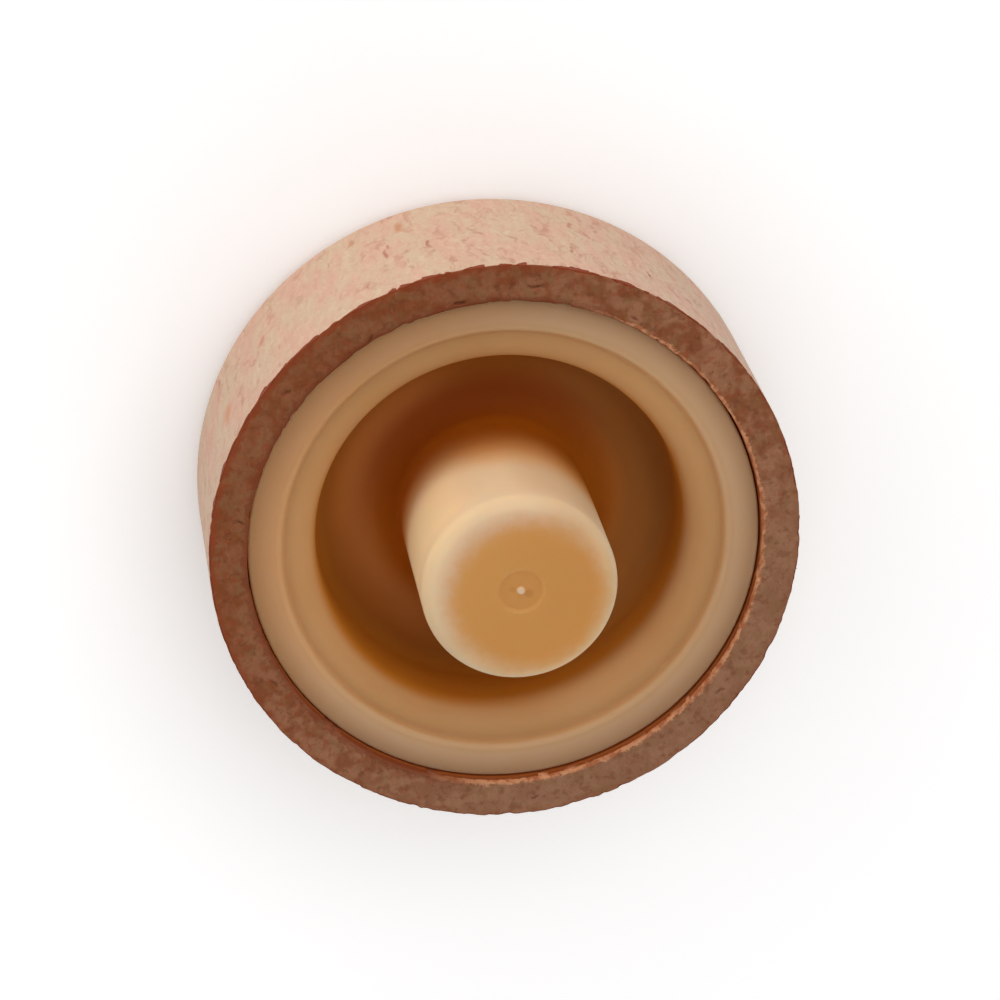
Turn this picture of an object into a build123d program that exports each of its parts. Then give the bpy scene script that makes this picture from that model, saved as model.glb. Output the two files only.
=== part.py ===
from build123d import *
import os

os.makedirs("parts", exist_ok=True)

# All sizes are in millimetres. The stopper stands on the flat top of its head,
# and +Z runs along its axis towards the free end of the shank.

# turned wooden head
head_radius = 20.0
head_height = 16.0
head_edge_round = 2.2
bore_radius = 17.4
bore_depth = 10.0

# moulded insert, which rests on the floor of the bore
insert_radius = 17.2
insert_lead_in = 0.6
ring_recess = 0.8
ring_edge_round = 0.3
step_radius = 14.9
step_depth = 0.6
step_root_round = 0.2
mouth_radius = 12.65
mouth_lip_round = 2.0
cavity_floor_depth = 8.0
cavity_draft = 0.15
cavity_root_round = 1.3

# shank that the seal slides on
shank_radius = 6.5
shank_reach = 7.5
shank_root_round = 1.8
shank_end_round = 0.6

# mark left by the moulding gate in the end of the shank
gate_dish_radius = 1.6
gate_dish_depth = 0.12
gate_dish_slope = 0.25
gate_nub_radius = 0.35
gate_nub_height = 0.1

# heights that follow from the sizes above
rim_z = head_height
bore_floor_z = rim_z - bore_depth
ring_z = rim_z - ring_recess
seat_z = ring_z - step_depth
cavity_floor_z = rim_z - cavity_floor_depth
shank_end_z = rim_z + shank_reach
gate_floor_z = shank_end_z - gate_dish_depth

# Head: one revolved section with a blind bore, sharp at the sawn rim and
# rounded where the side turns into the flat top.
with BuildPart() as wood_head:
    with BuildSketch(Plane.XZ) as head_section:
        with BuildLine():
            Polyline(
                (0, 0),
                (head_radius, 0),
                (head_radius, rim_z),
                (bore_radius, rim_z),
                (bore_radius, bore_floor_z),
                (0, bore_floor_z),
                close=True,
            )
        make_face()
        top_corner = head_section.vertices().sort_by_distance((head_radius, 0))[0]
        fillet(top_corner, radius=head_edge_round)
    revolve(axis=Axis.Z)
wood_head.part.label = "wood_head"
export_step(wood_head.part, "parts/wood_head.step")

# Insert: a thick cup with a stepped rim, and a solid shank that rises from the
# middle of its floor. Each corner is rounded as the mould leaves it.
with BuildPart() as shank_insert:
    with BuildSketch(Plane.XZ) as insert_section:
        with BuildLine():
            Polyline(
                (0, bore_floor_z),
                (insert_radius - insert_lead_in, bore_floor_z),
                (insert_radius, bore_floor_z + insert_lead_in),
                (insert_radius, ring_z),
                (step_radius, ring_z),
                (step_radius, seat_z),
                (mouth_radius, seat_z),
                (mouth_radius - cavity_draft, cavity_floor_z),
                (shank_radius, cavity_floor_z),
                (shank_radius, shank_end_z),
                (gate_dish_radius, shank_end_z),
                (gate_dish_radius - gate_dish_slope, gate_floor_z),
                (gate_nub_radius, gate_floor_z),
                (gate_nub_radius, gate_floor_z + gate_nub_height),
                (0, gate_floor_z + gate_nub_height),
                close=True,
            )
        make_face()
        corner_rounds = [
            ((insert_radius, ring_z), ring_edge_round),
            ((step_radius, ring_z), ring_edge_round),
            ((step_radius, seat_z), step_root_round),
            ((mouth_radius, seat_z), mouth_lip_round),
            ((mouth_radius - cavity_draft, cavity_floor_z), cavity_root_round),
            ((shank_radius, cavity_floor_z), shank_root_round),
            ((shank_radius, shank_end_z), shank_end_round),
        ]
        for corner, corner_radius in corner_rounds:
            fillet(insert_section.vertices().sort_by_distance(corner)[0], radius=corner_radius)
    revolve(axis=Axis.Z)
shank_insert.part.label = "shank_insert"
export_step(shank_insert.part, "parts/shank_insert.step")
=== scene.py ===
import math
import random
from functools import partial

import bpy
import numpy as np
from mathutils import Matrix, Vector, noise


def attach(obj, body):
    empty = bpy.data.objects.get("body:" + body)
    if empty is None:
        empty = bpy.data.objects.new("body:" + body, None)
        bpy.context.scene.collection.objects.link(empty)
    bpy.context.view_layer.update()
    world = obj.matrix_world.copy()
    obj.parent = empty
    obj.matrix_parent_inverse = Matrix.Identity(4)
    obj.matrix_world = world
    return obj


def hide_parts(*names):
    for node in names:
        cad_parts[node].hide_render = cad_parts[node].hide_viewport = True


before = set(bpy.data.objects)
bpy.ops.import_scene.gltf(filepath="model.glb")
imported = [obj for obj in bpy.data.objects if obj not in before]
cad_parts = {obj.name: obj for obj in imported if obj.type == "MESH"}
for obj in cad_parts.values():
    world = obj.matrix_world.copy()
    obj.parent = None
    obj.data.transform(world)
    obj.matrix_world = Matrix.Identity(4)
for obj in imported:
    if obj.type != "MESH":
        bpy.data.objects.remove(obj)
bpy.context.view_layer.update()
scene = bpy.context.scene
mm = 0.001
imageSize = 1000
print("frame loaded:", sorted(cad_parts))

camera = {
    "elevation": 22.0,        # degrees above the plane square to the stopper's axis
    "sideAngle": 7.2,         # degrees the axis leans towards the right of the picture
    "distance": 268.0,        # mm from the point it looks at
    "pixelsPerMm": 14.9,      # at that distance
    "target": (0.3, -2.9, 14.6),
    "sensor": 36.0,           # mm
    "near": 0.01,             # m
    "far": 20.0,
}

# name, direction from the stopper, distance and size in mm, light level at the stopper
lamps = [
    ("overheadLamp", (0.32, -0.93, 0.18), 480, (1200, 190), 0.88),
    ("frontLamp", (-0.15, -0.45, 0.88), 620, (480, 480), 0.30),
    ("leftLamp", (0.93, -0.10, 0.34), 560, (420, 260), 0.10),
    ("backLamp", (-0.30, 0.90, 0.26), 600, (1000, 260), 0.38),
]
lampAim = (0, 0, 12)          # mm
skyLevel = 0.26


# a number or colour on its way through a material, so that sums can be written as sums
class Wire:
    def __init__(self, paint, socket):
        self.paint = paint
        self.socket = socket

    def math(self, operation, first, second=0.0):
        return self.paint.add("ShaderNodeMath", {"operation": operation}, {0: first, 1: second})

    def __add__(self, other):
        return self.math("ADD", self, other)

    def __radd__(self, other):
        return self.math("ADD", other, self)

    def __sub__(self, other):
        return self.math("SUBTRACT", self, other)

    def __rsub__(self, other):
        return self.math("SUBTRACT", other, self)

    def __mul__(self, other):
        return self.math("MULTIPLY", self, other)

    def __truediv__(self, other):
        return self.math("DIVIDE", self, other)

    def __pow__(self, other):
        return self.math("POWER", self, other)

    def larger(self, other):
        return self.math("MAXIMUM", self, other)

    # 0 below low, 1 above high, smooth between; low may be the higher of the two
    def fade(self, low, high):
        first, last, start, end = (low, high, 0.0, 1.0) if low < high else (high, low, 1.0, 0.0)
        return self.paint.add(
            "ShaderNodeMapRange",
            {"interpolation_type": "SMOOTHSTEP"},
            {"Value": self, "From Min": first, "From Max": last, "To Min": start, "To Max": end},
        )


# a material under construction
class Paint:
    def __init__(self, name):
        self.material = bpy.data.materials.new(name)
        self.material.use_nodes = True
        self.nodes = self.material.node_tree.nodes
        self.links = self.material.node_tree.links
        self.nodes.clear()

    def add(self, kind, settings=None, sockets=None, out=0):
        made = self.nodes.new(kind)
        for key, value in (settings or {}).items():
            setattr(made, key, value)
        for key, value in (sockets or {}).items():
            if isinstance(value, Wire):
                self.links.new(value.socket, made.inputs[key])
            else:
                made.inputs[key].default_value = value
        return Wire(self, made.outputs[out])

    # where a point lies on the object itself, in metres
    def place(self):
        return self.add("ShaderNodeTexCoord", out="Object")

    def attribute(self, name):
        return self.add("ShaderNodeAttribute", {"attribute_name": name}, out="Fac")

    def stretch(self, vector, scale):
        return self.add("ShaderNodeVectorMath", {"operation": "MULTIPLY"}, {0: vector, 1: scale})

    def shift(self, vector, other):
        return self.add("ShaderNodeVectorMath", {"operation": "ADD"}, {0: vector, 1: other})

    def distance(self, vector, place):
        sockets = {0: vector, 1: place}
        return self.add("ShaderNodeVectorMath", {"operation": "DISTANCE"}, sockets, "Value")

    def parts(self, vector):
        split = self.nodes.new("ShaderNodeSeparateXYZ")
        self.links.new(vector.socket, split.inputs[0])
        return [Wire(self, split.outputs[i]) for i in range(3)]

    # cloudy value round 0.5, with features about size mm across
    def clouds(self, vector, size, detail=2.0, rough=0.5, out=0):
        sockets = {"Vector": vector, "Scale": 1 / (size * mm), "Detail": detail, "Roughness": rough}
        return self.add("ShaderNodeTexNoise", None, sockets, out)

    # sockets 6 and 7 are the node's two colours, and output 2 is their mix
    def mixed(self, factor, first, second):
        return self.add(
            "ShaderNodeMix",
            {"data_type": "RGBA", "clamp_factor": True},
            {0: factor, 6: first, 7: second},
            out=2,
        )

    # spots of (place, size in mm, how strong, colour) on a base; core is the share of a spot
    # that has its full strength, and long is how far the vector is squeezed along the axis
    def spots(self, base, vector, marks, core, long=1.0):
        for place, size, strength, color in marks:
            where = tuple(v * mm * k for v, k in zip(place, (1.0, 1.0, long)))
            share = self.distance(vector, where).fade(size * mm, core * size * mm)
            base = self.mixed(share * strength, base, tone(*color))
        return base

    def finish(self, surface):
        self.links.new(surface.socket, self.nodes.new("ShaderNodeOutputMaterial").inputs["Surface"])
        return self.material


# a colour given as it looks on a screen, 0 to 255, as the light value that Blender works with
def tone(red, green, blue):
    def light(value):
        value = value / 255
        return value / 12.92 if value <= 0.04045 else ((value + 0.055) / 1.055) ** 2.4

    return (light(red), light(green), light(blue), 1.0)


def newNode(tree, kind, settings=None, sockets=None):
    made = tree.nodes.new(kind)
    for key, value in (settings or {}).items():
        setattr(made, key, value)
    for key, value in (sockets or {}).items():
        made.inputs[key].default_value = value
    return made


# Section line in mm from corners of
# (radius, height, rounding, steps of the round, step of the run that follows).
def sectionLine(corners):
    line = []
    count = len(corners)
    for i, (r, z, rounding, arcSteps, _) in enumerate(corners):
        here = Vector((r, z))
        if rounding == 0 or i in (0, count - 1):
            line.append((here, i))
            continue
        before = (Vector(corners[i - 1][:2]) - here).normalized()
        after = (Vector(corners[i + 1][:2]) - here).normalized()
        half = before.angle(after) / 2
        centre = here + (before + after).normalized() * (rounding / math.sin(half))
        start = here + before * (rounding / math.tan(half)) - centre
        end = here + after * (rounding / math.tan(half)) - centre
        sweep = start.angle_signed(end)
        for k in range(arcSteps + 1):
            turned = start.copy()
            turned.rotate(Matrix.Rotation(-sweep * k / arcSteps, 2))
            line.append((centre + turned, i))
    points = []
    for (first, corner), (second, _) in zip(line, line[1:]):
        parts = max(1, round((second - first).length / corners[corner][4]))
        points += [first.lerp(second, k / parts) for k in range(parts)]
    points.append(line[-1][0])
    return [(p.x, p.y) for p in points]


# A tree that turns a section line round the stopper's axis,
# and closes it at the seam and at the poles.
def turningTree(material):
    tree = bpy.data.node_groups.new("turnSection", "GeometryNodeTree")
    face = tree.interface
    face.new_socket("Geometry", in_out="INPUT", socket_type="NodeSocketGeometry")
    segments = face.new_socket("Segments", in_out="INPUT", socket_type="NodeSocketInt")
    pathRadius = face.new_socket("Path radius", in_out="INPUT", socket_type="NodeSocketFloat")
    mergeAt = face.new_socket("Merge distance", in_out="INPUT", socket_type="NodeSocketFloat")
    face.new_socket("Geometry", in_out="OUTPUT", socket_type="NodeSocketGeometry")

    add = partial(newNode, tree)
    link = tree.links.new
    given, result = add("NodeGroupInput"), add("NodeGroupOutput")
    path = add("GeometryNodeCurvePrimitiveCircle", {"mode": "RADIUS"})
    upright = add("GeometryNodeSetCurveNormal", {"mode": "Z_UP"})
    section = add("GeometryNodeMeshToCurve")
    minus = add("ShaderNodeMath", {"operation": "MULTIPLY"}, {1: -1.0})
    inward = add("ShaderNodeCombineXYZ")
    moved = add("GeometryNodeSetPosition")
    swept = add("GeometryNodeCurveToMesh")
    merged = add("GeometryNodeMergeByDistance")
    smooth = add("GeometryNodeSetShadeSmooth")
    real = add("GeometryNodeRealizeInstances")
    dressed = add("GeometryNodeSetMaterial", None, {"Material": material})

    link(given.outputs["Segments"], path.inputs["Resolution"])
    link(given.outputs["Path radius"], path.inputs["Radius"])
    link(path.outputs["Curve"], upright.inputs["Curve"])
    link(given.outputs["Path radius"], minus.inputs[0])
    link(minus.outputs[0], inward.inputs["X"])
    link(given.outputs["Geometry"], section.inputs["Mesh"])
    link(section.outputs["Curve"], moved.inputs["Geometry"])
    link(inward.outputs[0], moved.inputs["Offset"])
    link(upright.outputs["Curve"], swept.inputs["Curve"])
    link(moved.outputs["Geometry"], swept.inputs["Profile Curve"])
    link(swept.outputs["Mesh"], merged.inputs["Geometry"])
    link(given.outputs["Merge distance"], merged.inputs["Distance"])
    link(merged.outputs["Geometry"], smooth.inputs["Geometry"])
    link(smooth.outputs["Geometry"], real.inputs["Geometry"])
    link(real.outputs["Geometry"], dressed.inputs["Geometry"])
    link(dressed.outputs["Geometry"], result.inputs["Geometry"])
    sockets = {"segments": segments, "pathRadius": pathRadius, "mergeAt": mergeAt}
    return tree, {name: socket.identifier for name, socket in sockets.items()}


# Runs a tree on a mesh and gives back the result as a plain mesh object.
def grown(name, mesh, tree, inputs, values):
    seed = bpy.data.objects.new(name + "Seed", mesh)
    scene.collection.objects.link(seed)
    modifier = seed.modifiers.new("tree", "NODES")
    modifier.node_group = tree
    for key, value in values.items():
        modifier[inputs[key]] = value
    bpy.context.view_layer.update()
    depsgraph = bpy.context.evaluated_depsgraph_get()
    result = bpy.data.meshes.new_from_object(seed.evaluated_get(depsgraph))
    bpy.data.objects.remove(seed)
    result.name = name
    made = bpy.data.objects.new(name, result)
    scene.collection.objects.link(made)
    return made


turning = {
    "pathRadius": 10.0,     # any circle does; the section is moved back by as much
    "mergeAt": 0.001,
}


# Turns a section round the stopper's axis.
def turned(name, corners, segments, material):
    line = sectionLine(corners)
    flat = bpy.data.meshes.new(name + "Section")
    points = [(r * mm, -z * mm, 0.0) for r, z in line]
    flat.from_pydata(points, [(i, i + 1) for i in range(len(line) - 1)], [])
    tree, inputs = turningTree(material)
    values = {key: value * mm for key, value in turning.items()}
    return grown(name, flat, tree, inputs, {"segments": segments, **values})


def enclosedVolume(mesh):
    mesh.calc_loop_triangles()
    points = np.array([v.co for v in mesh.vertices])
    corners = points[np.array([t.vertices for t in mesh.loop_triangles])]
    sideways = np.cross(corners[:, 1], corners[:, 2])
    return float(np.einsum("ij,ij->i", corners[:, 0], sideways).sum() / 6)


# Gives a mesh its new points, in mm, and turns its faces outwards.
def reshape(mesh, points):
    mesh.vertices.foreach_set("co", (points * mm).astype(np.float32).ravel())
    if enclosedVolume(mesh) < 0:
        mesh.flip_normals()
    mesh.update()


def floatLayer(mesh, name, values):
    layer = mesh.attributes.new(name, "FLOAT", "POINT")
    layer.data.foreach_set("value", np.asarray(values, np.float32))


# Turned head of pale wood: fine side, sawn rim with torn edges.
head = {
    "radius": 20.0,
    "height": 16.0,
    "topRound": 2.2,
    "boreRadius": 17.4,
    "boreDepth": 10.0,
    "boreEdge": 0.10,       # small break at the bore's mouth
    "segments": 900,
    "fineRows": 0.96,       # the side has fine rows this far below the rim
    "sawDepth": 0.045,      # how deep the saw and torn grain cut the rim
    "grainDepth": 0.012,    # how deep the grain shows on the side
    # bites out of the two edges of the rim, and scars of thin splinters that the saw tore off
    # the side under it: how many, how deep and how wide
    "chips": (150, (0.02, 0.13), (0.3, 1.5)),
    "innerChips": (110, (0.03, 0.20), (0.3, 1.6)),
    "splinters": (150, (0.10, 0.72), (0.3, 1.9)),
    "splinterDepth": 0.05,
    "chipReach": 0.9,       # how far a bite is felt down the side, and out from the bore
    "chipReachIn": 0.7,     # and how far it is felt in from the outer edge
    "chipDrop": 0.9,        # shares of a bite's depth that lower the edge and draw it in
    "chipDraw": 0.5,
    "innerChipShare": 0.8,
    "scarWave": 0.06,       # how much the lower edge of a scar wanders
    "scarEdge": 0.09,       # how soft that edge is
    "scarFull": 0.2,        # a scar has its full depth this far above it
    "slitHalf": 0.09,
    "slitWave": 0.07,
    "jagDepth": 0.025,      # fine teeth of the outer edge, and how far in they reach
    "jagReach": 0.25,
    "edgeBands": (0.35, 0.30, 0.35),    # where fibres grow: inner and outer width, outer share
    # slits in the rim: degrees round from -X towards -Y, radius and length in mm, lean, depth
    "slits": [
        (100.1, 17.75, 1.15, 0.12, 0.20),
        (84.3, 18.50, 1.45, -0.05, 0.16),
        (171.5, 18.10, 0.95, 1.57, 0.14),
        (120.5, 17.70, 0.80, 0.20, 0.10),
        (141.0, 18.70, 0.70, -0.25, 0.10),
        (62.0, 18.00, 0.80, 0.15, 0.09),
        (-38.0, 18.60, 0.90, -0.55, 0.08),
        (-84.0, 18.80, 0.80, 0.10, 0.08),
        (-150.0, 18.30, 0.90, 0.25, 0.10),
    ],
    # marks on the side: place and size in mm, how strong, red, green and blue
    "marks": [
        ((15.59, -12.53, 7.8), 0.50, 0.65, (196, 104, 84)),
        ((14.95, -13.30, 6.2), 0.34, 0.40, (204, 128, 104)),
        ((18.17, -8.35, 10.2), 0.85, 0.60, (206, 136, 92)),
        ((18.38, -7.89, 3.6), 0.40, 0.70, (170, 98, 74)),
        ((5.95, -19.09, 4.5), 0.52, 0.65, (190, 122, 76)),
        ((9.15, -17.79, 3.6), 0.38, 0.55, (188, 132, 86)),
        ((12.94, -15.25, 7.4), 0.46, 0.45, (184, 138, 110)),
        ((-3.47, -19.70, 8.3), 0.40, 0.45, (180, 122, 96)),
    ],
    # dark flecks that run down the side with the grain
    "flecks": [
        ((7.28, -18.63, 8.6), 0.24, 0.80, (170, 100, 72)),
        ((7.00, -18.73, 7.6), 0.18, 0.70, (176, 106, 78)),
        ((4.37, -19.52, 9.4), 0.24, 0.85, (168, 98, 66)),
        ((8.84, -17.94, 13.2), 0.13, 0.70, (182, 110, 88)),
        ((-4.86, -19.40, 12.1), 0.27, 0.85, (172, 92, 72)),
        ((-5.49, -19.23, 5.9), 0.22, 0.75, (184, 110, 86)),
        ((-10.21, -17.20, 11.2), 0.22, 0.85, (152, 78, 60)),
        ((-10.60, -16.96, 9.6), 0.18, 0.60, (178, 108, 86)),
    ],
    "seed": 11,
}


def headMaterial():
    paint = Paint("turnedBeech")
    at = paint.place()
    x, y, z = paint.parts(at)
    endGrain = paint.attribute("endGrain")
    torn = paint.attribute("torn")
    radius = (x * x + y * y) ** 0.5
    splintered = paint.attribute("splintered")
    wobble = paint.shift(paint.clouds(at, 1.1, 1.0, 0.6, out="Color"), (-0.5, -0.5, -0.5))
    bent = paint.shift(at, paint.stretch(wobble, (0.0008, 0.0008, 0.0016)))
    # the grain is taken to run along the axis, so marks on the side are tall
    tallness, tallerness = 0.4, 0.2
    tall = paint.stretch(bent, (1.0, 1.0, tallness))
    taller = paint.stretch(bent, (1.0, 1.0, tallerness))

    # smooth side and top: pink and straw clouds, short broken cracks and specks
    clouds = paint.clouds(tall, 2.0, 2.0, 0.6)
    side = paint.mixed(clouds.fade(0.38, 0.62), tone(213, 168, 143), tone(209, 178, 148))
    streaks = paint.clouds(taller, 0.30, 2.0, 0.6)
    side = paint.mixed(streaks.fade(0.54, 0.74) * 0.16, side, tone(188, 140, 116))
    side = paint.mixed(streaks.fade(0.46, 0.28) * 0.16, side, tone(226, 196, 168))
    blush = paint.clouds(paint.shift(tall, (0.02, 0.05, 0.01)), 0.60, 2.0, 0.6)
    side = paint.mixed(blush.fade(0.53, 0.70) * 0.42, side, tone(202, 150, 127))
    side = paint.mixed(blush.fade(0.47, 0.32) * 0.36, side, tone(221, 195, 162))
    rings = paint.distance(bent, (0.02, 0.075, 0.006))
    year = paint.add("ShaderNodeMath", {"operation": "FRACT"}, {0: rings / (2.3 * mm)})
    year = year.fade(0.55, 0.95) * year.fade(1.0, 0.96)
    yearShare = z.fade(1.2 * mm, 0.2 * mm) * 0.15 + 0.04
    side = paint.mixed(year * yearShare, side, tone(190, 138, 110))
    # painted shade: the right of the head, as the camera sees it, gets more of the darker mottling
    # and a few more cracks
    rightShade = (x * -0.8 - y * 0.35).fade(-6.0 * mm, 14.0 * mm)

    def cracks(size, width, low, high, seedShift, along):
        moved = paint.shift(paint.stretch(bent, (1.0, 1.0, along)), seedShift)
        sockets = {"Vector": moved, "Scale": 1 / (size * mm)}
        edge = paint.add("ShaderNodeTexVoronoi", {"feature": "DISTANCE_TO_EDGE"}, sockets)
        kept = paint.clouds(paint.shift(tall, seedShift), 1.05, 1.0, 0.5) + rightShade * 0.04
        return edge.fade(width / size, 0.0) * kept.fade(low, high)

    def specks(size, low, high, keep):
        cells = paint.nodes.new("ShaderNodeTexVoronoi")
        cells.inputs["Scale"].default_value = 1 / (size * mm)
        paint.links.new(tall.socket, cells.inputs["Vector"])
        near = Wire(paint, cells.outputs["Distance"]).fade(high, low)
        cellColor = Wire(paint, cells.outputs["Color"])
        chosen = paint.add("ShaderNodeSeparateColor", None, {0: cellColor})
        return near * chosen.fade(keep, keep + 0.05)

    large = cracks(1.6, 0.25, 0.615, 0.71, (0.013, 0.002, 0.004), 0.26)
    small = cracks(0.85, 0.17, 0.59, 0.68, (0.031, 0.017, 0.009), 0.34)
    dots = specks(1.25, 0.04, 0.19, 0.82)
    side = paint.mixed(small * 0.50, side, tone(190, 134, 106))
    side = paint.mixed(large * 0.52, side, tone(178, 116, 90))
    side = paint.mixed(dots * 0.46, side, tone(180, 120, 92))
    mottle = paint.clouds(paint.shift(tall, (0.03, 0.01, 0.05)), 0.33, 2.0, 0.65)
    mottled = mottle.fade(0.54, 0.70) * (rightShade * 0.26 + 0.20)
    side = paint.mixed(mottled, side, tone(194, 140, 114))
    side = paint.mixed(mottle.fade(0.45, 0.30) * 0.18, side, tone(224, 200, 170))

    side = paint.spots(side, tall, head["marks"], 0.25, tallness)
    side = paint.spots(side, taller, head["flecks"], 0.25, tallerness)

    # sawn rim and bore: soft brown patches, saw lines and a red outer edge.
    # Painted shade makes the rim and its outer edge darker and redder at the upper left, and
    # painted light makes the lower right greyer and paler, with fewer dark marks. A painted
    # highlight lies on the inner edge and the top of the bore wall on the side that faces the
    # light; painted shade darkens the rest of the inner edge and the bore wall in the gap round
    # the insert. Sides are named as the camera sees them
    upperLeftShade = (x * 0.82 - y * 0.57).fade(0.0, 17.0 * mm)
    lowerRightLight = (y * 0.77 - x * 0.64).fade(2.0 * mm, 16.0 * mm)
    # painted light: fewer dark marks at the lower right
    fewerMarksInLight = 1 - lowerRightLight * 0.2
    patches = paint.clouds(at, 1.5, 2.0, 0.6)
    greyer = paint.clouds(paint.shift(at, (0.04, 0.01, 0.0)), 1.1, 2.0, 0.6)
    end = paint.mixed(patches.fade(0.40, 0.60), tone(146, 84, 50), tone(172, 117, 84))
    # painted shade: the rim darker and redder towards the upper left
    end = paint.mixed(upperLeftShade * 0.62, end, tone(140, 73, 32))
    # painted light: the lower right greyer and paler
    end = paint.mixed(lowerRightLight * 0.65, end, tone(172, 127, 98))
    end = paint.mixed(greyer.fade(0.48, 0.66) * 0.46, end, tone(148, 107, 68))
    darker = paint.clouds(paint.shift(at, (0.0, 0.07, 0.02)), 0.8, 2.0, 0.65)
    end = paint.mixed(darker.fade(0.52, 0.66) * 0.50 * fewerMarksInLight, end, tone(120, 64, 34))
    redder = paint.clouds(paint.shift(at, (0.05, 0.0, 0.09)), 0.62, 2.0, 0.6)
    end = paint.mixed(redder.fade(0.55, 0.68) * (0.50 - lowerRightLight * 0.28), end, tone(160, 76, 44))
    saw = paint.clouds(paint.stretch(bent, (1.0, 0.3, 1.0)), 0.30, 3.0, 0.65)
    end = paint.mixed(saw.fade(0.54, 0.74) * 0.36 * fewerMarksInLight, end, tone(118, 66, 40))
    end = paint.mixed(saw.fade(0.46, 0.26) * 0.22, end, tone(186, 136, 102))
    pores = paint.clouds(at, 0.13, 2.0, 0.6)
    end = paint.mixed(pores.fade(0.56, 0.72) * 0.28 * fewerMarksInLight, end, tone(112, 62, 38))
    frayed = radius + (darker - 0.5) * (1.1 * mm)
    # a red outer edge all round, made darker and redder at the upper left by painted shade
    edge = frayed.fade(19.35 * mm, 19.80 * mm) * (upperLeftShade * 0.66 + 0.18)
    end = paint.mixed(edge, end, tone(150, 68, 34))
    ragged = radius + (pores - 0.5) * (0.4 * mm)
    # painted highlight: the inner edge of the rim and the top of the bore wall are pale on the side
    # that faces the light
    litBoreSide = (x * -0.956 + y * 0.29).fade(-2.0 * mm, 4.0 * mm)
    lipHighlight = (ragged + (redder - 0.5) * (0.7 * mm)).fade(17.70 * mm, 17.56 * mm)
    highlightTone = paint.mixed(darker.fade(0.42, 0.60), tone(232, 164, 120), tone(192, 116, 76))
    end = paint.mixed(lipHighlight * 0.85 * litBoreSide, end, highlightTone)
    wall = radius.fade(17.48 * mm, 17.42 * mm)
    # painted shade: the bore wall dark brown, as shade in the gap round the insert
    end = paint.mixed(wall * 0.94, end, tone(134, 66, 18))
    wallTopHighlight = wall * (z + (redder - 0.5) * (0.5 * mm)).fade(15.60 * mm, 15.78 * mm) * litBoreSide
    end = paint.mixed(wallTopHighlight * 0.85, end, highlightTone)
    # painted shade: a darker red inner edge on the side away from the light
    inner = (radius + (darker - 0.5) * (1.6 * mm)).fade(17.95 * mm, 17.60 * mm)
    end = paint.mixed(inner * (1 - litBoreSide) * 0.60, end, tone(128, 58, 30))
    # the foot of the bore wall in the gap round the insert, below the insert's ring, is painted
    # orange brown, lighter than the painted shade above it
    gapFootHeight = (z + (pores - 0.5) * (0.3 * mm)).fade(15.42 * mm, 15.28 * mm)
    gapFoot = radius.fade(17.46 * mm, 17.42 * mm) * gapFootHeight
    end = paint.mixed(gapFoot * 0.9, end, tone(170, 88, 30))

    color = paint.mixed(endGrain, side, end)
    color = paint.mixed(splintered.fade(0.25, 0.62), color, tone(132, 54, 18))
    color = paint.mixed(torn * 0.85, color, tone(96, 48, 28))

    sideHeight = streaks * 0.3
    endHeight = pores * 0.9 + saw * 1.1 - darker * 1.4
    height = sideHeight * (1 - endGrain) + endHeight * endGrain
    bumpSockets = {"Strength": 0.7, "Distance": 0.04 * mm, "Height": height}
    bump = paint.add("ShaderNodeBump", None, bumpSockets)
    rough = 0.55 + endGrain * 0.30 + streaks * 0.08
    shader = paint.add(
        "ShaderNodeBsdfPrincipled",
        None,
        {
            "Base Color": color,
            "Roughness": rough,
            "Normal": bump,
            "IOR": 1.45,
            "Specular IOR Level": 0.3,
        },
    )
    return paint.finish(shader)


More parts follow.
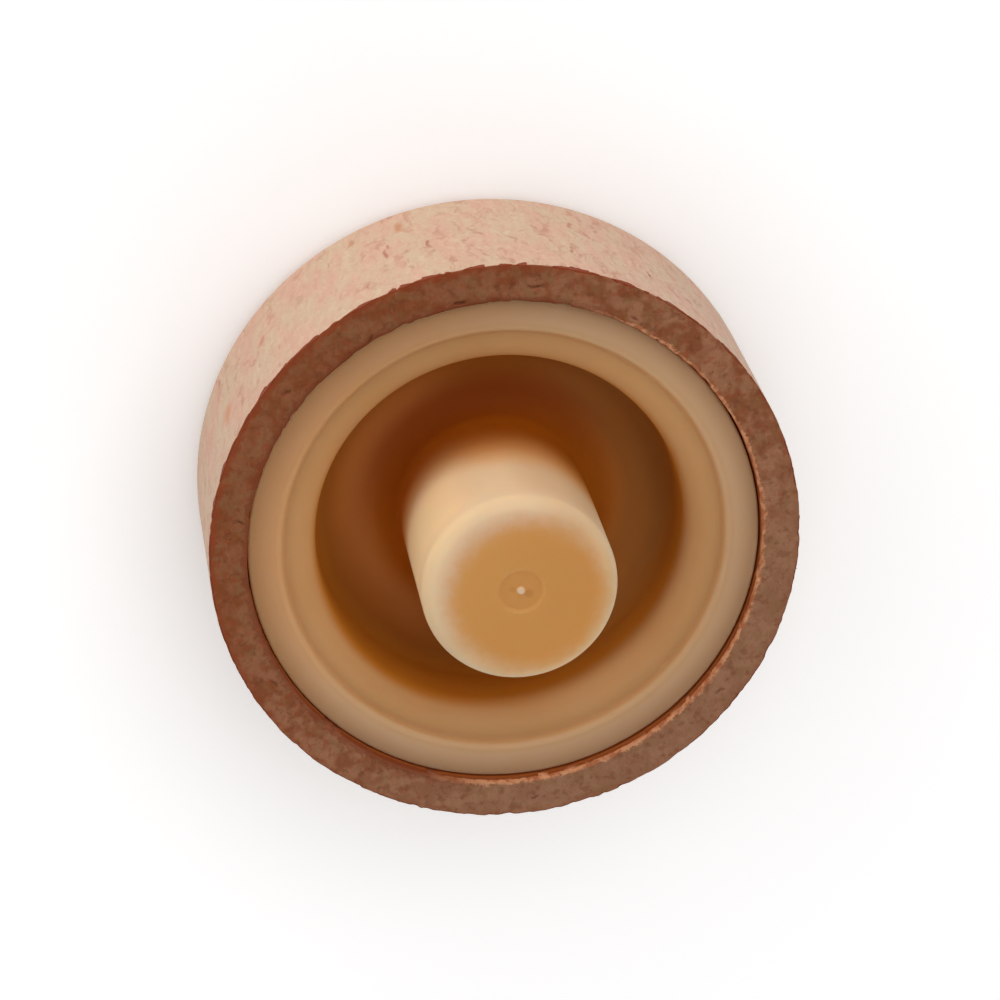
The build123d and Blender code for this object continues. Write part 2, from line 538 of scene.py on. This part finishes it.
def makeHead():
    rimZ = head["height"]
    floorZ = rimZ - head["boreDepth"]
    corners = [
        (0.0, 0.0, 0, 1, 4.0),
        (head["radius"], 0.0, head["topRound"], 9, 0.62),
        (head["radius"], rimZ - head["fineRows"], 0, 1, 0.08),
        (head["radius"], rimZ, 0, 1, 0.1),
        (head["boreRadius"] + head["boreEdge"], rimZ, 0, 1, 0.12),
        (head["boreRadius"], rimZ - head["boreEdge"], 0, 1, 1.2),
        (head["boreRadius"], floorZ, 0, 1, 4.0),
        (0.0, floorZ, 0, 1, 1.0),
    ]
    piece = turned("turnedHead", corners, head["segments"], headMaterial())
    mesh = piece.data
    points = np.array([v.co for v in mesh.vertices]) / mm
    radius = np.hypot(points[:, 0], points[:, 1])
    angle = np.arctan2(points[:, 1], points[:, 0])
    z = points[:, 2].copy()
    draw = random.Random(head["seed"])

    # how far the outer and inner edges are bitten away, by angle
    steps = 7200
    rounds = np.linspace(-math.pi, math.pi, steps, endpoint=False)

    def bites(edgeRadius, count, depths, widths):
        worn = np.zeros(steps)
        for _ in range(count):
            middle = draw.uniform(-math.pi, math.pi)
            width = draw.uniform(*widths) / edgeRadius
            depth = draw.uniform(*depths) * draw.uniform(0.35, 1.0)
            lean = draw.choice((draw.uniform(0.08, 0.3), draw.uniform(0.7, 0.92)))
            away = (rounds - middle + math.pi) % (2 * math.pi) - math.pi
            share = away / width + lean
            shape = np.where(share < lean, share / lean, (1 - share) / (1 - lean))
            worn = np.maximum(worn, depth * np.clip(shape, 0, 1) ** 0.7)
        return worn

    def along(values, angles):
        return values[((angles + math.pi) / (2 * math.pi) * steps).astype(int) % steps]

    outerBite = along(bites(head["radius"], *head["chips"]), angle)
    innerBite = along(bites(head["boreRadius"], *head["innerChips"]), angle)
    scar = along(bites(head["radius"], *head["splinters"]), angle)

    near = 0.001
    mouth = head["boreRadius"] + head["boreEdge"]
    onRim = (z > rimZ - near) & (radius > mouth - near)
    onSide = (radius > head["radius"] - near) & ~onRim
    onLip = (z > rimZ - head["boreEdge"] - 0.01) & (z < rimZ - near) & (radius < mouth)

    torn = np.zeros(len(z))
    splintered = np.zeros(len(z))
    newRadius = radius.copy()
    for i in np.nonzero(onRim | onSide | onLip)[0]:
        spot = Vector((points[i, 0], points[i, 1], z[i]))
        if onSide[i]:
            down = rimZ - z[i]
            if down < head["chipReach"]:
                hold = max(0.0, 1 - down / head["chipReach"]) ** 2
                z[i] -= outerBite[i] * head["chipDrop"] * hold
                newRadius[i] -= outerBite[i] * head["chipDraw"] * hold
                inScar = scar[i] - down + head["scarWave"] * noise.noise(spot * 3.1)
                splintered[i] = min(1.0, max(0.0, inScar / head["scarEdge"] + 0.5))
                scarShare = min(1.0, max(0.0, inScar / head["scarFull"]))
                newRadius[i] -= head["splinterDepth"] * scarShare
            grainBump = noise.noise(Vector((spot.x * 1.6, spot.y * 1.6, spot.z * 0.25)))
            newRadius[i] -= head["grainDepth"] * (1 + grainBump)
            continue
        fromEdge = head["radius"] - radius[i]
        hold = max(0.0, 1 - fromEdge / head["chipReachIn"]) ** 2
        inHold = max(0.0, 1 - (radius[i] - head["boreRadius"]) / head["chipReach"]) ** 2
        coarse = noise.fractal(spot * 1.3, 1.0, 2.0, 3)
        fineBump = noise.fractal(spot * 4.6 + Vector((9, 3, 5)), 0.8, 2.0, 2)
        cut = head["sawDepth"] * (0.5 + 0.45 * coarse + 0.5 * fineBump)
        innerCut = innerBite[i] * head["innerChipShare"] * inHold
        cut = max(0.0, cut) + outerBite[i] * head["chipDrop"] * hold + innerCut
        for turn, ring, length, lean, depth in head["slits"]:
            turn = math.radians(turn)
            middle = Vector((-math.cos(turn), -math.sin(turn))) * ring
            off = spot.xy - middle
            if off.length < length:
                # a slit runs square to the radius, then leans towards it
                run = Vector((math.sin(turn), -math.cos(turn)))
                run.rotate(Matrix.Rotation(lean, 2))
                away = off.dot(run)
                across = off.x * -run.y + off.y * run.x
                share = max(0.0, 1 - (away / length * 2) ** 2)
                wave = head["slitWave"] * math.sin(away * 5 + turn * 9)
                half = head["slitHalf"] * (0.35 + share)
                gap = max(0.0, 1 - abs(across - wave) / half) * share
                cut += depth * gap
                torn[i] = max(torn[i], gap)
        z[i] -= cut
        if fromEdge < 0.06:
            splintered[i] = min(1.0, scar[i] / 0.12)
        scarCut = head["splinterDepth"] * min(1.0, scar[i] / head["scarFull"])
        newRadius[i] -= (outerBite[i] + scarCut) * hold
        newRadius[i] += innerCut
    newRadius = np.where(onRim | onLip, np.minimum(newRadius, head["radius"]), newRadius)
    jag = np.array([noise.noise(Vector((math.cos(a) * 34, math.sin(a) * 34, 2.0))) for a in angle])
    jagged = onRim & (radius > head["radius"] - head["jagReach"])
    newRadius -= np.where(jagged, head["jagDepth"] * (1 + jag), 0.0)
    scale = np.divide(newRadius, radius, out=np.ones_like(radius), where=radius > 1e-6)
    points[:, 0] *= scale
    points[:, 1] *= scale
    points[:, 2] = z
    reshape(mesh, points)
    sawn = onRim | onLip | ((radius < head["boreRadius"] + 0.01) & (z > 1))
    floatLayer(mesh, "endGrain", sawn.astype(float))
    floatLayer(mesh, "torn", torn)
    floatLayer(mesh, "splintered", splintered)
    innerWidth, outerWidth, outerShare = head["edgeBands"]
    innerBand = np.clip(1 - (newRadius - head["boreRadius"]) / innerWidth, 0, 1)
    outerBand = np.clip(1 - (head["radius"] - newRadius) / outerWidth, 0, 1) * outerShare
    floatLayer(mesh, "edgeBand", onRim.astype(float) * (innerBand + outerBand))
    mesh.update()
    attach(piece, "root")
    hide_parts("wood_head")
    print("head made:", len(mesh.polygons), "faces,", round(enclosedVolume(mesh) * 1e9), "mm3")
    return piece


# Short torn fibres that lie nearly flat, all much the same way, on both edges of the sawn rim.
fibres = {
    "density": 0.9e6,        # a square metre, where the edge band is full
    "radius": 0.030,
    "length": 0.42,
    "thinnest": 0.45,        # size of the smallest, as a share
    "lean": (0.0, 0.26, 0.42),
    "seed": 5,
}


def fibreMaterial():
    paint = Paint("tornFibre")
    at = paint.place()
    tint = paint.clouds(at, 0.9, 2.0, 0.5)
    color = paint.mixed(tint.fade(0.35, 0.65), tone(136, 72, 44), tone(184, 118, 80))
    fine = paint.clouds(paint.stretch(at, (0.1, 1.0, 1.0)), 0.05, 2.0, 0.5)
    bumpSockets = {"Strength": 0.4, "Distance": 0.01 * mm, "Height": fine}
    bump = paint.add("ShaderNodeBump", None, bumpSockets)
    shader = paint.add(
        "ShaderNodeBsdfPrincipled",
        None,
        {
            "Base Color": color,
            "Roughness": 0.75 + fine * 0.1,
            "Normal": bump,
            "Specular IOR Level": 0.25,
        },
    )
    return paint.finish(shader)


# A tree that strews tapered slivers over a surface, as thick as its edgeBand attribute says.
def fibreTree(material):
    tree = bpy.data.node_groups.new("strewFibres", "GeometryNodeTree")
    face = tree.interface
    face.new_socket("Geometry", in_out="INPUT", socket_type="NodeSocketGeometry")
    inputs = {}
    for name, kind in (
        ("Density", "NodeSocketFloat"),
        ("Radius", "NodeSocketFloat"),
        ("Length", "NodeSocketFloat"),
        ("Thinnest", "NodeSocketFloat"),
        ("Lean", "NodeSocketVector"),
        ("Seed", "NodeSocketInt"),
    ):
        inputs[name] = face.new_socket(name, in_out="INPUT", socket_type=kind).identifier
    face.new_socket("Geometry", in_out="OUTPUT", socket_type="NodeSocketGeometry")

    add = partial(newNode, tree)
    link = tree.links.new
    given, result = add("NodeGroupInput"), add("NodeGroupOutput")
    band = add("GeometryNodeInputNamedAttribute", {"data_type": "FLOAT"}, {"Name": "edgeBand"})
    strewn = add("GeometryNodeDistributePointsOnFaces", {"distribute_method": "RANDOM"})
    dense = add("ShaderNodeMath", {"operation": "MULTIPLY"})
    sliver = add(
        "GeometryNodeMeshCone", {"fill_type": "TRIANGLE_FAN"}, {"Vertices": 5, "Radius Top": 0.0}
    )
    middle = add("GeometryNodeTransform")
    halfDown = add("ShaderNodeMath", {"operation": "MULTIPLY"}, {1: -0.5})
    downward = add("ShaderNodeCombineXYZ")
    least = add("ShaderNodeVectorMath", {"operation": "SCALE"}, {"Scale": -1.0})
    leaning = add("FunctionNodeRandomValue", {"data_type": "FLOAT_VECTOR"})
    laidFlat = add("ShaderNodeVectorMath", {"operation": "ADD"}, {1: (0.0, math.pi / 2, 0.0)})
    sized = add("FunctionNodeRandomValue", {"data_type": "FLOAT"}, {3: 1.0})
    placed = add("GeometryNodeInstanceOnPoints")
    real = add("GeometryNodeRealizeInstances")
    dressed = add("GeometryNodeSetMaterial", None, {"Material": material})

    link(given.outputs["Geometry"], strewn.inputs["Mesh"])
    link(given.outputs["Seed"], strewn.inputs["Seed"])
    link(given.outputs["Density"], dense.inputs[0])
    link(band.outputs["Attribute"], dense.inputs[1])
    link(dense.outputs[0], strewn.inputs["Density"])
    link(given.outputs["Radius"], sliver.inputs["Radius Bottom"])
    link(given.outputs["Length"], sliver.inputs["Depth"])
    link(given.outputs["Length"], halfDown.inputs[0])
    link(halfDown.outputs[0], downward.inputs["Z"])
    link(sliver.outputs["Mesh"], middle.inputs["Geometry"])
    link(downward.outputs[0], middle.inputs["Translation"])
    link(given.outputs["Lean"], least.inputs[0])
    link(least.outputs[0], leaning.inputs[0])
    link(given.outputs["Lean"], leaning.inputs[1])
    link(given.outputs["Seed"], leaning.inputs["Seed"])
    link(leaning.outputs[0], laidFlat.inputs[0])
    link(given.outputs["Thinnest"], sized.inputs[2])
    link(given.outputs["Seed"], sized.inputs["Seed"])
    link(strewn.outputs["Points"], placed.inputs["Points"])
    link(middle.outputs["Geometry"], placed.inputs["Instance"])
    link(laidFlat.outputs[0], placed.inputs["Rotation"])
    link(sized.outputs[1], placed.inputs["Scale"])
    link(placed.outputs["Instances"], real.inputs["Geometry"])
    link(real.outputs["Geometry"], dressed.inputs["Geometry"])
    link(dressed.outputs["Geometry"], result.inputs["Geometry"])
    return tree, inputs


def makeFibres(wood):
    tree, inputs = fibreTree(fibreMaterial())
    values = {
        "Density": fibres["density"],
        "Radius": fibres["radius"] * mm,
        "Length": fibres["length"] * mm,
        "Thinnest": fibres["thinnest"],
        "Lean": fibres["lean"],
        "Seed": fibres["seed"],
    }
    piece = grown("rimFibres", wood.data, tree, inputs, values)
    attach(piece, "root")
    print("fibres made:", len(piece.data.polygons), "faces")


# Moulded insert: stepped ring, cavity and shank.
insert = {
    "radius": 17.32,
    "leadIn": 0.6,
    "backZ": 6.0,
    "ringZ": 15.2,
    "ringEdge": 0.18,
    "stepTop": 15.20,
    "stepFoot": 14.84,
    "stepRound": (0.45, 0.28),
    "seatZ": 14.6,
    "mouthRadius": 12.65,
    "mouthLip": 2.0,
    "floorZ": 8.0,
    "floorRound": 1.3,
    "draft": 0.15,
    "shankRadius": 6.5,
    "shankEndZ": 23.5,
    "shankRoot": 1.8,
    "shankEdge": 0.95,
    "gateRadius": 1.6,
    "gateDepth": 0.12,
    "gateSlope": 0.25,
    "nubRadius": 0.27,
    "nubHeight": 0.1,
    "offCentre": (0.030, -0.025),   # it was glued in a little to one side
    "segments": 420,
    "ringSink": 0.03,               # the ring sank a little unevenly as it cooled,
    "ringSinkFrom": 14.0,           # above this height and between these radii
    "ringSinkBand": (12.9, 17.0),
    "endFrom": 23.3,                # the shank's end, above this height, sank in the middle
    "endSink": 0.05,
    "endSinkRadius": 5.6,
    "twist": 0.05,                  # the gate was twisted off, which left the middle uneven
    "twistRadius": 2.6,
    "twistMiddle": 0.5,
    "twistShare": 0.8,
    # small marks: place and size in mm, how strong, red, green and blue
    "marks": [
        ((0.58, -0.10, 23.4), 0.34, 0.20, (204, 124, 76)),
        ((-0.50, 0.22, 23.4), 0.42, 0.30, (200, 118, 70)),
        # this pale mark is a painted highlight on the gate's nub
        ((0.030, -0.025, 23.5), 0.38, 0.75, (252, 220, 192)),
        ((-3.50, -13.30, 14.6), 0.24, 0.70, (96, 60, 34)),
    ],
}


def insertMaterial():
    paint = Paint("creamMoulding")
    at = paint.place()
    x, y, z = paint.parts(at)
    radius = (x * x + y * y) ** 0.5
    soft = paint.clouds(at, 4.5, 2.0, 0.5)
    fine = paint.clouds(at, 0.8, 3.0, 0.6)

    cream = paint.mixed(soft.fade(0.35, 0.65), tone(236, 204, 163), tone(231, 197, 154))
    # painted shade: the seat, the cavity's walls and floor and the shank's foot are painted
    # darker and more orange the further down they go. The terms that lean to one side paint
    # light and shade by side, as the camera sees them
    seatShade = radius.fade(15.8 * mm, 15.4 * mm) * radius.fade(10.5 * mm, 12.2 * mm)
    cream = paint.mixed(seatShade * 0.75, cream, tone(206, 150, 88))
    inside = radius.fade(13.3 * mm, 12.7 * mm)
    byShank = radius.fade(9.6 * mm, 7.4 * mm)
    litWall = (y * 0.7 - x * 0.7).fade(3.0 * mm, 12.0 * mm)
    dimWall = (y * 0.94 + x * 0.34).fade(5.0 * mm, 13.0 * mm)
    wallZ = z + litWall * (1.1 * mm) - dimWall * (0.6 * mm)
    wallRecessShade = inside * wallZ.fade(14.7 * mm, 12.3 * mm) * (1 - byShank)
    minusX = x * -1.0
    shankLit, shankDim = x.fade(1.0 * mm, 5.5 * mm), minusX.fade(2.0 * mm, 6.5 * mm)
    shankZ = z + shankLit * (2.4 * mm) - shankDim * (0.8 * mm)
    shankFootShade = shankZ.fade(19.2 * mm, 9.8 * mm) * byShank
    depth = wallRecessShade + shankFootShade
    color = paint.mixed(wallRecessShade * 0.98, cream, tone(200, 124, 30))
    cavityFloorShade = radius.fade(13.2 * mm, 11.6 * mm) * z.fade(11.8 * mm, 8.8 * mm)
    color = paint.mixed(cavityFloorShade * 0.9, color, tone(176, 106, 32))
    # painted light: the cavity floor lighter and greyer on the right and lighter orange on the left
    right = minusX.fade(0.0, 7.0 * mm)
    color = paint.mixed(cavityFloorShade * right * 0.6, color, tone(182, 124, 62))
    floorLeftLight = cavityFloorShade * x.fade(1.0 * mm, 6.0 * mm) * radius.fade(11.8 * mm, 8.5 * mm)
    color = paint.mixed(floorLeftLight * 0.85, color, tone(222, 148, 80))
    standing = z.fade(13.0 * mm, 16.0 * mm) * byShank
    # painted shade: the standing shank darker on its right and at its top
    shankRightShade = (x * -0.5 - y * 0.866).fade(5.2 * mm, 6.4 * mm) * standing
    color = paint.mixed(shankRightShade * 0.8, color, tone(216, 176, 133))
    top = (y * -1.0).fade(2.0 * mm, 6.5 * mm) * byShank * z.fade(12.0 * mm, 16.0 * mm)
    color = paint.mixed(top * 0.35, color, tone(220, 186, 148))
    halfwayShade = shankZ.fade(18.0 * mm, 13.5 * mm) * byShank
    color = paint.mixed(halfwayShade * 0.55, color, tone(234, 168, 84))
    color = paint.mixed(shankFootShade * 0.97, color, tone(206, 113, 8))
    # painted shade: the shank's foot darker on its right
    footRightShade = shankFootShade * (minusX + y * 0.3).fade(-1.0 * mm, 5.0 * mm)
    color = paint.mixed(footRightShade * 0.6, color, tone(164, 92, 20))
    # painted shadow: darkest round the shank's foot, most on the side behind the shank
    behind = (x * 0.34 - y * 0.94).fade(-2.0 * mm, 8.0 * mm) * 0.75 + 0.08
    aroundFoot = radius.fade(10.8 * mm, 8.4 * mm) * radius.fade(6.3 * mm, 6.95 * mm)
    footShadow = aroundFoot * z.fade(12.5 * mm, 9.2 * mm)
    color = paint.mixed(footShadow * behind, color, tone(146, 64, 0))
    # painted light: the standing shank paler on its left
    shankLeftLight = (x * 0.94 - y * 0.34).fade(4.2 * mm, 6.6 * mm) * standing
    color = paint.mixed(shankLeftLight * 0.8, color, tone(255, 212, 158))
    outer = radius.fade(14.7 * mm, 15.1 * mm) * z.fade(14.8 * mm, 15.0 * mm)
    color = paint.mixed(outer * 0.84, color, tone(216, 177, 138))
    # darker towards the ring's outer edge, next to the wood
    ringOuterDarker = outer * radius.fade(15.7 * mm, 17.2 * mm)
    color = paint.mixed(ringOuterDarker * 0.55, color, tone(190, 138, 98))
    # painted shade: the ring more orange and darker on its left
    ringLeftShade = (x * 0.9 - y * 0.4).fade(2.0 * mm, 15.0 * mm)
    color = paint.mixed(outer * ringLeftShade * 0.5, color, tone(222, 160, 100))

    # shank end: painted shade on its round edge, a painted pale band of light on the lit side,
    # a deeper orange middle set a little off centre away from the light, and a pale gate mark
    # whose nub carries a painted highlight
    high = z.fade(22.9 * mm, 23.15 * mm)
    middleAt = (-0.50 * mm, 0.42 * mm, 23.4 * mm)
    fromMiddle = paint.distance(at, middleAt)
    litSide = (x * 0.76 - y * 0.65).fade(-2.0 * mm, 5.5 * mm)
    # painted shade on the round edge of the shank's end
    endEdgeShade = z.fade(20.8 * mm, 22.8 * mm) * radius.fade(5.7 * mm, 6.2 * mm)
    color = paint.mixed(endEdgeShade * 0.45, color, tone(224, 194, 158))
    # painted light: a pale band on the side of the end that faces the light
    litEnd = high * litSide * radius.fade(6.5 * mm, 5.7 * mm)
    color = paint.mixed(litEnd * 0.55, color, tone(248, 224, 194))
    end = high * (fromMiddle + (fine - 0.5) * (0.9 * mm)).fade(6.2 * mm, 4.1 * mm)
    color = paint.mixed(end * 0.92, color, tone(228, 164, 86))
    # painted light: the middle paler on the lit side
    color = paint.mixed(end * litSide * 0.5, color, tone(238, 178, 100))
    color = paint.spots(color, at, insert["marks"], 0.4)

    bumpSockets = {"Strength": 0.5, "Distance": 0.012 * mm, "Height": fine}
    bump = paint.add("ShaderNodeBump", None, bumpSockets)
    rough = 0.40 + fine * 0.12 + depth * 0.25
    shader = paint.add(
        "ShaderNodeBsdfPrincipled",
        {"subsurface_method": "RANDOM_WALK"},
        {
            "Base Color": color,
            "Roughness": rough,
            "Normal": bump,
            "IOR": 1.5,
            "Specular IOR Level": 0.14,
            "Subsurface Weight": 0.85,
            "Subsurface Radius": (1.0, 0.7, 0.45),
            "Subsurface Scale": 2.3 * mm,
        },
    )
    return paint.finish(shader)


def makeInsert():
    g = insert
    gateZ = g["shankEndZ"] - g["gateDepth"]
    corners = [
        (0.0, g["backZ"], 0, 1, 4.0),
        (g["radius"] - g["leadIn"], g["backZ"], 0, 1, 0.6),
        (g["radius"], g["backZ"] + g["leadIn"], 0, 1, 1.5),
        (g["radius"], g["ringZ"], g["ringEdge"], 5, 0.5),
        (g["stepTop"], g["ringZ"], g["stepRound"][0], 6, 0.2),
        (g["stepFoot"], g["seatZ"], g["stepRound"][1], 5, 0.3),
        (g["mouthRadius"], g["seatZ"], g["mouthLip"], 12, 0.5),
        (g["mouthRadius"] - g["draft"], g["floorZ"], g["floorRound"], 9, 0.5),
        (g["shankRadius"], g["floorZ"], g["shankRoot"], 11, 0.6),
        (g["shankRadius"], g["shankEndZ"], g["shankEdge"], 8, 0.5),
        (g["gateRadius"], g["shankEndZ"], 0.1, 3, 0.1),
        (g["gateRadius"] - g["gateSlope"], gateZ, 0.1, 3, 0.3),
        (g["nubRadius"], gateZ, 0.04, 3, 0.05),
        (g["nubRadius"], gateZ + g["nubHeight"], 0.04, 3, 0.15),
        (0.0, gateZ + g["nubHeight"], 0, 1, 1.0),
    ]
    piece = turned("mouldedInsert", corners, g["segments"], insertMaterial())
    mesh = piece.data
    points = np.array([v.co for v in mesh.vertices]) / mm
    bandFrom, bandTo = g["ringSinkBand"]
    for i, (px, py, pz) in enumerate(points):
        radius = math.hypot(px, py)
        if pz > g["ringSinkFrom"] and bandFrom < radius < bandTo:
            points[i, 2] -= g["ringSink"] * (1 + noise.noise(Vector((px, py, pz)) * 0.16))
        if pz > g["endFrom"] and radius < g["endSinkRadius"]:
            points[i, 2] -= g["endSink"] * (1 - (radius / g["endSinkRadius"]) ** 2)
        if pz > g["endFrom"] and radius < g["twistRadius"]:
            outward = (1 - radius / g["twistRadius"]) * g["twistShare"]
            hold = 1 if radius < g["twistMiddle"] else outward
            points[i, 2] += g["twist"] * hold * noise.noise(Vector((px * 3, py * 3, 7)))
    points[:, 0] += g["offCentre"][0]
    points[:, 1] += g["offCentre"][1]
    reshape(mesh, points)
    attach(piece, "root")
    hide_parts("shank_insert")
    print("insert made:", len(mesh.polygons), "faces,", round(enclosedVolume(mesh) * 1e9), "mm3")


# White table top that keeps the stopper's shadow.
tableTop = {
    "white": (0.90, 0.90, 0.90, 1.0),
    "glow": 0.46,             # what the table adds by itself, where it is seen and lies clear
    "shadowReach": 55.0,      # mm round the stopper where it adds less
    "halfSide": 3.0,          # m
    "low": -0.01,             # mm, just under the stopper
}


def makeTable():
    paint = Paint("whiteTable")
    diffuse = paint.add("ShaderNodeBsdfDiffuse", None, {"Color": tableTop["white"]})
    ray = paint.nodes.new("ShaderNodeLightPath")
    seen = Wire(paint, ray.outputs["Is Camera Ray"])
    seen = seen.larger(Wire(paint, ray.outputs["Is Glossy Ray"]))
    seen = seen.larger(Wire(paint, ray.outputs["Is Transmission Ray"]))
    reach = {"Distance": tableTop["shadowReach"] * mm}
    clear = paint.add("ShaderNodeAmbientOcclusion", {"samples": 2}, reach, out="AO")
    glowSockets = {"Color": (1.0, 1.0, 1.0, 1.0), "Strength": tableTop["glow"]}
    glow = paint.add("ShaderNodeEmission", None, glowSockets)
    lit = paint.add("ShaderNodeAddShader", None, {0: diffuse, 1: glow})
    both = paint.add("ShaderNodeMixShader", None, {0: seen * clear, 1: diffuse, 2: lit})
    material = paint.finish(both)
    mesh = bpy.data.meshes.new("tableTop")
    half, low = tableTop["halfSide"], tableTop["low"] * mm
    corners = [(-half, -half, low), (half, -half, low), (half, half, low), (-half, half, low)]
    mesh.from_pydata(corners, [], [(0, 1, 2, 3)])
    mesh.materials.append(material)
    table = bpy.data.objects.new("tableTop", mesh)
    scene.collection.objects.link(table)


def makeSky():
    sky = bpy.data.worlds.new("studioSky")
    scene.world = sky
    sky.use_nodes = True
    nodes, links = sky.node_tree.nodes, sky.node_tree.links
    nodes.clear()
    ray = nodes.new("ShaderNodeLightPath")
    level = nodes.new("ShaderNodeMapRange")
    level.inputs["To Min"].default_value = skyLevel
    level.inputs["To Max"].default_value = 1.0
    back = nodes.new("ShaderNodeBackground")
    out = nodes.new("ShaderNodeOutputWorld")
    links.new(ray.outputs["Is Camera Ray"], level.inputs["Value"])
    links.new(level.outputs["Result"], back.inputs["Strength"])
    links.new(back.outputs["Background"], out.inputs["Surface"])
    back.inputs["Color"].default_value = (1.0, 1.0, 1.0, 1.0)


def makeLamps():
    aim = Vector(lampAim) * mm
    for name, direction, farOff, size, level in lamps:
        towards = Vector(direction).normalized()
        distance = farOff * mm
        data = bpy.data.lights.new(name, "AREA")
        data.shape = "RECTANGLE"
        data.size, data.size_y = (side * mm for side in size)
        data.energy = level * math.pi ** 2 * distance ** 2
        thing = bpy.data.objects.new(name, data)
        thing.location = aim + towards * distance
        thing.rotation_euler = towards.to_track_quat("Z", "Y").to_euler()
        thing.visible_camera = False
        scene.collection.objects.link(thing)


def makeCamera():
    c = camera
    up, lean = math.radians(c["elevation"]), math.radians(c["sideAngle"])
    towards = Vector((math.cos(up) * math.sin(lean), -math.sin(up), math.cos(up) * math.cos(lean)))
    data = bpy.data.cameras.new("photoCamera")
    data.sensor_width = c["sensor"]
    data.lens = c["sensor"] * c["pixelsPerMm"] * c["distance"] / imageSize
    data.clip_start, data.clip_end = c["near"], c["far"]
    thing = bpy.data.objects.new("photoCamera", data)
    target = Vector(c["target"]) * mm
    thing.location = target + towards * c["distance"] * mm
    right = (-towards).cross(Vector((0, -1, 0))).normalized()
    top = right.cross(-towards).normalized()
    turn = Matrix((right, top, towards)).transposed()
    thing.rotation_euler = turn.to_euler()
    scene.collection.objects.link(thing)
    scene.camera = thing


scene.view_settings.view_transform = "Standard"
makeCamera()
makeLamps()
makeSky()
makeTable()
print("stage set")
makeFibres(makeHead())
makeInsert()
